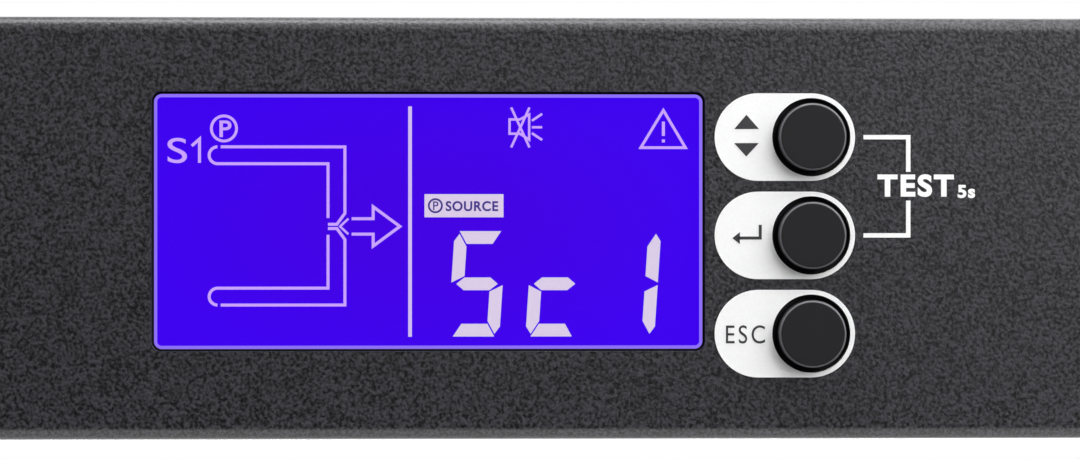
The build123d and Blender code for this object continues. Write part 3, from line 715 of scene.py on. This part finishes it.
class CoatSettings(bpy.types.PropertyGroup):
    """Powder coat of the sheet metal."""

    grain: FloatProperty(
        name="Grain",
        description="Size of the coat's pebbles",
        default=0.36 * MM,
        unit="LENGTH",
        precision=5,
    )
    relief: FloatProperty(
        name="Relief",
        description="Depth of the coat's pebbles",
        default=0.06 * MM,
        unit="LENGTH",
        precision=5,
    )
    # Painted light: the dark tone fills the pebbles' hollows as painted shade, and the light tone their
    # tips as painted glints.
    dark: bpy.props.StringProperty(
        name="Dark tone", description="sRGB hex colour of the coat's hollows", default="#040406"
    )
    light: bpy.props.StringProperty(
        name="Light tone", description="sRGB hex colour of the coat's tips", default="#3F3E44"
    )
    edge: FloatProperty(
        name="Edge",
        description="How far the edges of the cut-outs are broken",
        default=0.2 * MM,
        unit="LENGTH",
    )


class PrintSettings(bpy.types.PropertyGroup):
    """Words and symbols."""

    thick: FloatProperty(
        name="Ink", description="Thickness of an ink layer", default=0.03 * MM, unit="LENGTH", precision=5
    )
    line: FloatProperty(
        name="Display line",
        description="Width of the display's thin lines",
        default=0.3 * MM,
        unit="LENGTH",
    )


class ScrewSettings(bpy.types.PropertyGroup):
    """Small screws."""

    ear_head: FloatProperty(
        name="Ear screw", description="Head radius of the ear screws", default=3.4 * MM, unit="LENGTH"
    )
    lid_head: FloatProperty(
        name="Lid screw",
        description="Head radius of the lid and connector screws",
        default=2.2 * MM,
        unit="LENGTH",
    )
    thread_pitch: FloatProperty(
        name="Thread", description="Pitch of the earth stud's thread", default=0.8 * MM, unit="LENGTH"
    )
    contacts: IntProperty(name="Contacts", description="Contacts in the service port", default=8, min=1)


class StageSettings(bpy.types.PropertyGroup):
    """Camera and light."""

    distance: FloatProperty(
        name="Distance", description="From the lens to the panel", default=0.38, unit="LENGTH"
    )
    yaw: FloatProperty(
        name="Yaw",
        description="How far left of the panel's normal the camera stands",
        default=math.radians(1.69),
        subtype="ANGLE",
    )
    wide: FloatProperty(
        name="Width of view",
        description="Width of panel that the picture takes in",
        default=0.11145,
        unit="LENGTH",
    )
    key: FloatProperty(name="Key light", description="Power of the key light in watts", default=3.7)
    floor: FloatVectorProperty(
        name="Floor", description="Colour of the floor", subtype="COLOR", default=tone("#E4E4E2")[:3]
    )


SETTINGS = {
    "switch_coat": CoatSettings,
    "switch_print": PrintSettings,
    "switch_screws": ScrewSettings,
    "switch_stage": StageSettings,
}


# ---- Operators ----

# Soft lamps round the unit, in metres: name, place, size and share of the key light's power.
LAMPS = (
    ("Key", (0.32, -0.42, 0.36), 0.5, 1.0),
    ("Top", (-0.06, -0.16, 0.8), 0.34, 1.2),
    ("Fill", (0.32, -0.85, 0.4), 0.65, 0.36),
    ("Side", (-0.36, -0.85, 0.42), 0.5, 0.2),
    ("Back", (0.3, 1.0, 0.7), 0.8, 1.6),
)


class SWITCH_OT_stage(bpy.types.Operator):
    """Sets the camera, the floor and the soft light"""

    bl_idname = "switch.stage"
    bl_label = "Studio"

    def execute(self, context):
        settings = context.scene.switch_stage
        context.scene.view_settings.view_transform = "Standard"
        self.camera(context, settings)
        self.floor(context, settings)
        self.world(context)
        for name, place, size, share in LAMPS:
            self.lamp(name, place, size, settings.key * share)
        return {"FINISHED"}

    def camera(self, context, settings):
        lens = bpy.data.cameras.new("Camera")
        lens.sensor_width = 36
        lens.lens = lens.sensor_width * settings.distance / settings.wide
        lens.clip_start = 0.01
        made = bpy.data.objects.new("Camera", lens)
        context.scene.collection.objects.link(made)
        target = Vector((0, FRONT_Y, MIDDLE_Z - 0.15 * MM))
        back = Vector((-math.sin(settings.yaw), -math.cos(settings.yaw), 0))
        made.location = target + back * settings.distance
        made.rotation_euler = (-back).to_track_quat("-Z", "Y").to_euler()
        context.scene.camera = made

    def floor(self, context, settings):
        """Pale paper that ends just in front of the panel, so that the panel isn't lit from below."""
        half = 500 * MM
        near = FRONT_Y - 1.4 * MM
        z = -0.02 * MM
        mesh = bpy.data.meshes.new("Floor")
        corners = [(-half, near, z), (half, near, z), (half, half, z), (-half, half, z)]
        mesh.from_pydata(corners, [], [(0, 1, 2, 3)])
        material, tree, output, place = blank("Matt studio paper")
        noise = add(tree, "ShaderNodeTexNoise", {"Vector": place, "Scale": 1 / (30 * MM)})
        spread = add(
            tree, "ShaderNodeMapRange", {"Value": noise.outputs["Fac"], "To Min": 0.75, "To Max": 0.85}
        )
        paper = add(
            tree,
            "ShaderNodeBsdfPrincipled",
            {
                "Base Color": (*settings.floor, 1.0),
                "Roughness": spread.outputs["Result"],
                "Specular IOR Level": 0.2,
            },
        )
        path = add(tree, "ShaderNodeLightPath").outputs
        lift = add(
            tree,
            "ShaderNodeMath",
            {0: path["Is Camera Ray"], 1: 0.5, 2: path["Is Glossy Ray"]},
            operation="MULTIPLY_ADD",
        )
        shine = add(tree, "ShaderNodeEmission", {"Strength": lift.outputs[0]})
        both = add(tree, "ShaderNodeAddShader", {0: paper.outputs[0], 1: shine.outputs[0]})
        tree.links.new(both.outputs[0], output.inputs["Surface"])
        mesh.materials.append(material)
        made = bpy.data.objects.new("Floor", mesh)
        context.scene.collection.objects.link(made)

    def world(self, context):
        """White to the eye; as light it is bright behind and above, and dark on the camera's side."""
        made = bpy.data.worlds.new("Soft studio")
        made.use_nodes = True
        tree = made.node_tree
        tree.nodes.clear()
        way = add(tree, "ShaderNodeTexCoord").outputs["Generated"]
        depth = add(tree, "ShaderNodeSeparateXYZ", {"Vector": way}).outputs["Y"]
        level = add(
            tree,
            "ShaderNodeMapRange",
            {"Value": depth, "From Min": -0.8, "From Max": 0.1, "To Min": 0.0, "To Max": 0.9},
        )
        path = add(tree, "ShaderNodeLightPath").outputs
        strength = add(
            tree,
            "ShaderNodeMath",
            {0: level.outputs["Result"], 1: path["Is Camera Ray"]},
            operation="MAXIMUM",
        )
        sky = add(tree, "ShaderNodeBackground", {"Color": (1, 1, 1, 1), "Strength": strength.outputs[0]})
        add(tree, "ShaderNodeOutputWorld", {"Surface": sky.outputs[0]})
        context.scene.world = made

    def lamp(self, name, place, size, watts):
        light = bpy.data.lights.new(name, "AREA")
        light.size = size
        light.energy = watts
        made = bpy.data.objects.new(name, light)
        bpy.context.scene.collection.objects.link(made)
        made.location = place
        aim = Vector((0, 0, MIDDLE_Z)) - made.location
        made.rotation_euler = aim.to_track_quat("-Z", "Y").to_euler()


class SWITCH_OT_case(bpy.types.Operator):
    """Coats the folded front panel and the ears, and breaks the edges of the panel's cut-outs and of the
    ears
    """

    bl_idname = "switch.case"
    bl_label = "Case"

    def execute(self, context):
        edge = context.scene.switch_coat.edge / MM
        edged("front_panel", edge, segments=3, only=lambda p: abs(p.y - FRONT_Y) < 0.01 * MM)
        for side in ("left", "right"):
            edged(f"{side}_rack_ear", 0.15)
        return {"FINISHED"}


class SWITCH_OT_display(bpy.types.Operator):
    """Draws the small symbols and words of the lit display"""

    bl_idname = "switch.display"
    bl_label = "Display symbols"

    def execute(self, context):
        settings = context.scene.switch_print
        line = settings.line
        marks = Marks(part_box("lcd_segments")[1].y, 0.1 * MM)
        marks.words("S", on_window(1.25, 7.09), on_window(3.25, 4.48))
        marks.stroke([on_window(3.76, 5.3), on_window(4.55, 4.6), on_window(4.55, 7.06)], line)
        marks.ring(on_window(7.08, 3.5), 1.3 * MM, 0.28 * MM)
        marks.words("P", on_window(6.62, 4.39), on_window(7.85, 2.68), 0.015)
        self.speaker(marks, line)
        self.warning(marks, line)
        marks.finished("display_symbols", "lcd_marks", "thin_marks")
        dark = Marks(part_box("lcd_segments")[0].y, settings.thick)
        dark.ring(on_window(28.98, 11.5), 0.68 * MM, 0.2 * MM)
        dark.words("P", on_window(28.74, 11.95), on_window(29.3, 11.05), 0.01)
        dark.words("SOURCE", on_window(30.05, 12.07), on_window(35.5, 11.02), 0.028, 1.1)
        dark.finished("display_plate_words", "lcd_lit", "blue_ink")
        self.gap_shade()
        return {"FINISHED"}

    def gap_shade(self):
        """Black ring that fills the gap between window and panel, as painted shade for the dark gap."""
        reach = (WINDOW_HIGH - WINDOW_LOW) / 2 - Vector((LENS_RIM, 0, LENS_RIM))
        middle = (WINDOW_LOW + WINDOW_HIGH) / 2
        points = []
        for i in range(GAP_SHADE_SIDES):
            turn = 2 * math.pi * (i + 0.5) / GAP_SHADE_SIDES
            way = Vector((math.cos(turn), math.sin(turn)))
            across = math.copysign(reach.x - LENS_CORNER, way.x)
            up = math.copysign(reach.z - LENS_CORNER, way.y)
            centre = Vector((middle.x + across, middle.z + up))
            points.append(centre + way * (LENS_CORNER + LENS_GAP / 2))
        ring = Marks(FRONT_Y + PANEL_SHEET, 0.4 * MM)
        ring.stroke(points, LENS_GAP, closed=True)
        ring.finished("window_gap_shade", "black_key", "gap_shade")

    def speaker(self, marks, line):
        """Loudspeaker, drawn in outline and crossed out."""
        outline = ((36.68, 2.54), (37.75, 2.54), (38.72, 2.02), (38.72, 4.64), (37.75, 4.02), (36.68, 4.02))
        marks.stroke([on_window(*p) for p in outline], line * 0.8, closed=True)
        for low, high in (((36.85, 1.3), (38.75, 5.44)), ((38.75, 1.3), (36.85, 5.44))):
            marks.stroke([on_window(*low), on_window(*high)], line * 0.8)
        for near, far in ((2.67, 1.96), (3.35, 3.35), (3.96, 4.67)):
            marks.stroke([on_window(39.0, near), on_window(40.07, far)], line * 0.8)

    def warning(self, marks, line):
        """Triangle with a bar and a dot."""
        corners = [on_window(*p) for p in ((52.68, 1.58), (50.33, 5.46), (54.98, 5.46))]
        marks.stroke(corners, line * 0.93, closed=True)
        marks.stroke([on_window(52.68, 2.75), on_window(52.68, 4.23)], line)
        marks.stroke([on_window(52.68, 4.6), on_window(52.68, 4.92)], line)


class SWITCH_OT_legends(bpy.types.Operator):
    """Prints the words and key symbols on the panel"""

    bl_idname = "switch.legends"
    bl_label = "Panel legends"

    def execute(self, context):
        thick = context.scene.switch_print.thick
        white = Marks(FRONT_Y, thick)
        white.words("TEST", on_panel(34.93, 25.02), on_panel(42.87, 27.37), 0.04, 1.17)
        white.words("5s", on_panel(43.25, 24.9), on_panel(45.08, 26.27), 0.04, 1.12)
        white.finished("panel_words", "white_print")
        dark = Marks(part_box("legend_print")[0].y, thick)
        dark.area([on_panel(20.09, 32.04), on_panel(22.64, 32.04), on_panel(21.34, 33.51)])
        dark.area([on_panel(20.07, 30.58), on_panel(21.32, 29.19), on_panel(22.61, 30.58)])
        corner = [on_panel(22.77, 22.13), on_panel(22.77, 20.77), on_panel(20.5, 20.77)]
        dark.stroke(corner, 0.31 * MM)
        dark.area([on_panel(19.89, 20.77), on_panel(20.66, 20.15), on_panel(20.66, 21.39)])
        dark.words("ESC", on_panel(19.22, 9.87), on_panel(23.26, 11.75), 0.0, 1.25)
        dark.finished("key_symbols", "black_key", "dark_ink")
        return {"FINISHED"}


class SWITCH_OT_keys(bpy.types.Operator):
    """Rounds the key caps and gives them their satin plastic"""

    bl_idname = "switch.keys"
    bl_label = "Keys"

    def execute(self, context):
        for key in KEYS:
            edged(f"button_{key}", 0.12, body=f"key_{key}")
        return {"FINISHED"}


class SWITCH_OT_connectors(bpy.types.Operator):
    """Breaks the moulded edges of the inlets, outlets, breakers and the service port"""

    bl_idname = "switch.connectors"
    bl_label = "Connectors"

    def execute(self, context):
        for side in "ab":
            edged(f"outlet_strip_{side}", 0.3)
            edged(f"inlet_{side}", 0.3)
            edged(f"breaker_{side}", 0.25)
            edged(f"reset_button_{side}", 0.5, body=f"reset_{side}", segments=3)
        edged("heavy_outlet", 0.3)
        edged("inlet_blades", 0.25)
        edged("service_port", 0.2)
        edged("breaker_nuts", 0.2)
        edged("earth_stud", 0.2)
        low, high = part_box("service_port")
        settings = context.scene.switch_screws
        count = settings.contacts
        row = (count - 1) * CONTACT_PITCH
        start = Vector(((low.x + high.x - row) / 2, high.y - 6 * MM, high.z - 3.6 * MM))
        turn = (math.radians(-90), 0, 0)
        sizes = {"Count": count, "Pitch": CONTACT_PITCH}
        contacts = grown(contact_tree(), [start], [turn], sizes, "service_port_contacts", "contact")
        contacts.data.materials[0] = finish("gold")
        return {"FINISHED"}


class SWITCH_OT_screws(bpy.types.Operator):
    """Sets the small screws of ears, lid and connectors, and the thread of the earth stud"""

    bl_idname = "switch.screws"
    bl_label = "Screws"

    def execute(self, context):
        settings = context.scene.switch_screws
        tree = screw_tree()
        points, turns = [], []
        for side, node in ((-1, "left_rack_ear"), (1, "right_rack_ear")):
            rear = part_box(node)[1].y
            face_x = side * (PANEL_HIGH.x + 2 * MM)
            for z in (-13, 13):
                for y in (9, 22):
                    points.append((face_x, rear - y * MM, MIDDLE_Z + z * MM))
                    turns.append((0, side * math.pi / 2, 0))
        sizes = {"Head radius": settings.ear_head, "Head height": 1.9 * MM}
        grown(tree, points, turns, sizes, "ear_screws", "galvanised")
        points, turns = [], []
        cover_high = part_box("top_cover")[1]
        for x in (-0.19, -0.065, 0.065, 0.19):
            points.append((x, cover_high.y - 6 * MM, cover_high.z - 0.9 * MM))
            turns.append((0, 0, 0))
        for node in ("inlet_a", "inlet_b"):
            low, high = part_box(node)
            for z in (low.z + 1.9 * MM, high.z - 1.9 * MM):
                points.append(((low.x + high.x) / 2, high.y - 0.2 * MM, z))
                turns.append((math.radians(-90), 0, 0))
        sizes = {"Head radius": settings.lid_head, "Head height": 0.9 * MM, "Recess depth": 0.6 * MM}
        sizes["Recess width"] = 0.55 * MM
        grown(tree, points, turns, sizes, "small_screws", "galvanised")
        low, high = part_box("earth_stud")
        middle = ((low.x + high.x) / 2, high.y - 9.5 * MM, (low.z + high.z) / 2)
        sizes = {"Pitch": settings.thread_pitch}
        grown(thread_tree(), [middle], [(math.radians(-90), 0, 0)], sizes, "earth_stud_thread", "contact")
        return {"FINISHED"}


class SWITCH_OT_inside(bpy.types.Operator):
    """Gives every solid that still shows the finish of its slot"""

    bl_idname = "switch.inside"
    bl_label = "Finishes"

    def execute(self, context):
        for node, solid in frame["nodes"].items():
            if solid.hide_render:
                continue
            solid.data.materials.clear()
            solid.data.materials.append(finish("lid_coat" if node == "top_cover" else SLOT_OF[node]))
        return {"FINISHED"}


OPERATORS = (
    SWITCH_OT_stage,
    SWITCH_OT_case,
    SWITCH_OT_display,
    SWITCH_OT_legends,
    SWITCH_OT_keys,
    SWITCH_OT_connectors,
    SWITCH_OT_screws,
    SWITCH_OT_inside,
)


class SWITCH_PT_sidebar(bpy.types.Panel):
    """Lists the pieces and their sizes"""

    bl_label = "Transfer switch"
    bl_idname = "SWITCH_PT_sidebar"
    bl_space_type = "VIEW_3D"
    bl_region_type = "UI"
    bl_category = "Transfer switch"

    def draw(self, context):
        for name, group in SETTINGS.items():
            box = self.layout.box()
            for field in group.__annotations__:
                box.prop(getattr(context.scene, name), field)
        for operator in OPERATORS:
            self.layout.operator(operator.bl_idname)


def register():
    """Adds the settings, operators and panel."""
    for item in (*SETTINGS.values(), *OPERATORS, SWITCH_PT_sidebar):
        bpy.utils.register_class(item)
    for name, group in SETTINGS.items():
        setattr(bpy.types.Scene, name, PointerProperty(type=group))


def unregister():
    """Takes them away again."""
    for name in SETTINGS:
        delattr(bpy.types.Scene, name)
    for item in (SWITCH_PT_sidebar, *reversed(OPERATORS), *SETTINGS.values()):
        bpy.utils.unregister_class(item)


def main():
    """Makes everything in order."""
    register()
    for operator in OPERATORS:
        group, name = operator.bl_idname.split(".")
        getattr(getattr(bpy.ops, group), name)()


if __name__ == "__main__":
    main()
